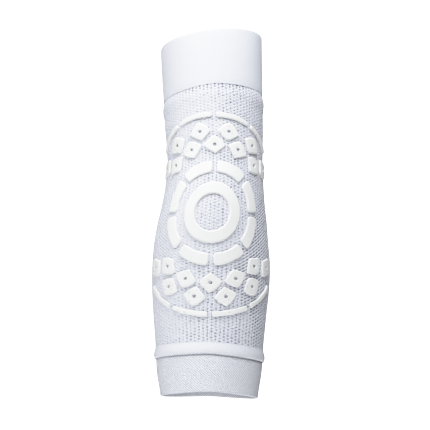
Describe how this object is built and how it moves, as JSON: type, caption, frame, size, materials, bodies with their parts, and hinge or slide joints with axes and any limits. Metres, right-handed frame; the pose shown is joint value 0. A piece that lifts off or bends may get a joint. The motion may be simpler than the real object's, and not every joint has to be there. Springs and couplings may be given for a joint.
{
  "type": "elbow support",
  "caption": "Knitted compression sleeve for the elbow, as worn, with plain cuffs, an openwork body and a raised silicone relief round the joint.",
  "frame": {"origin": "middle of the arm at the elbow joint, inside the hollow, where the arm holds the sleeve", "axes": "+Z along the arm towards the shoulder, -Y towards the point of the elbow, X across the arm"},
  "size_m": [0.0898, 0.0842, 0.2793],
  "materials": {
    "plain_knit": "fine plain knit, white",
    "open_knit": "openwork knit, white",
    "silicone": "satin, warm white"
  },
  "bodies": {
    "root": {"upper_cuff": "plain_knit", "sleeve_body": "open_knit", "lower_welt": "plain_knit", "lower_cuff": "plain_knit", "elbow_ring": "silicone", "arc_bar_1": "silicone", "arc_bar_2": "silicone", "arc_bar_3": "silicone", "arc_bar_4": "silicone", "arc_bar_5": "silicone", "arc_bar_6": "silicone", "arc_bar_7": "silicone", "arc_bar_8": "silicone", "upper_lozenge_1": "silicone", "upper_lozenge_2": "silicone", "upper_lozenge_3": "silicone", "upper_lozenge_4": "silicone", "upper_lozenge_5": "silicone", "upper_lozenge_6": "silicone", "upper_lozenge_7": "silicone", "upper_lozenge_8": "silicone", "upper_lozenge_9": "silicone", "upper_lozenge_10": "silicone", "upper_lozenge_11": "silicone", "lower_lozenge_1": "silicone", "lower_lozenge_2": "silicone", "lower_lozenge_3": "silicone", "lower_lozenge_4": "silicone", "lower_lozenge_5": "silicone", "lower_lozenge_6": "silicone", "lower_lozenge_7": "silicone", "lower_lozenge_8": "silicone", "lower_lozenge_9": "silicone", "lower_lozenge_10": "silicone", "lower_lozenge_11": "silicone", "upper_border_1": "silicone", "upper_border_2": "silicone", "upper_border_3": "silicone", "upper_border_4": "silicone", "lower_border_1": "silicone", "lower_border_2": "silicone", "lower_border_3": "silicone", "lower_border_4": "silicone"}
  },
  "joints": []
}
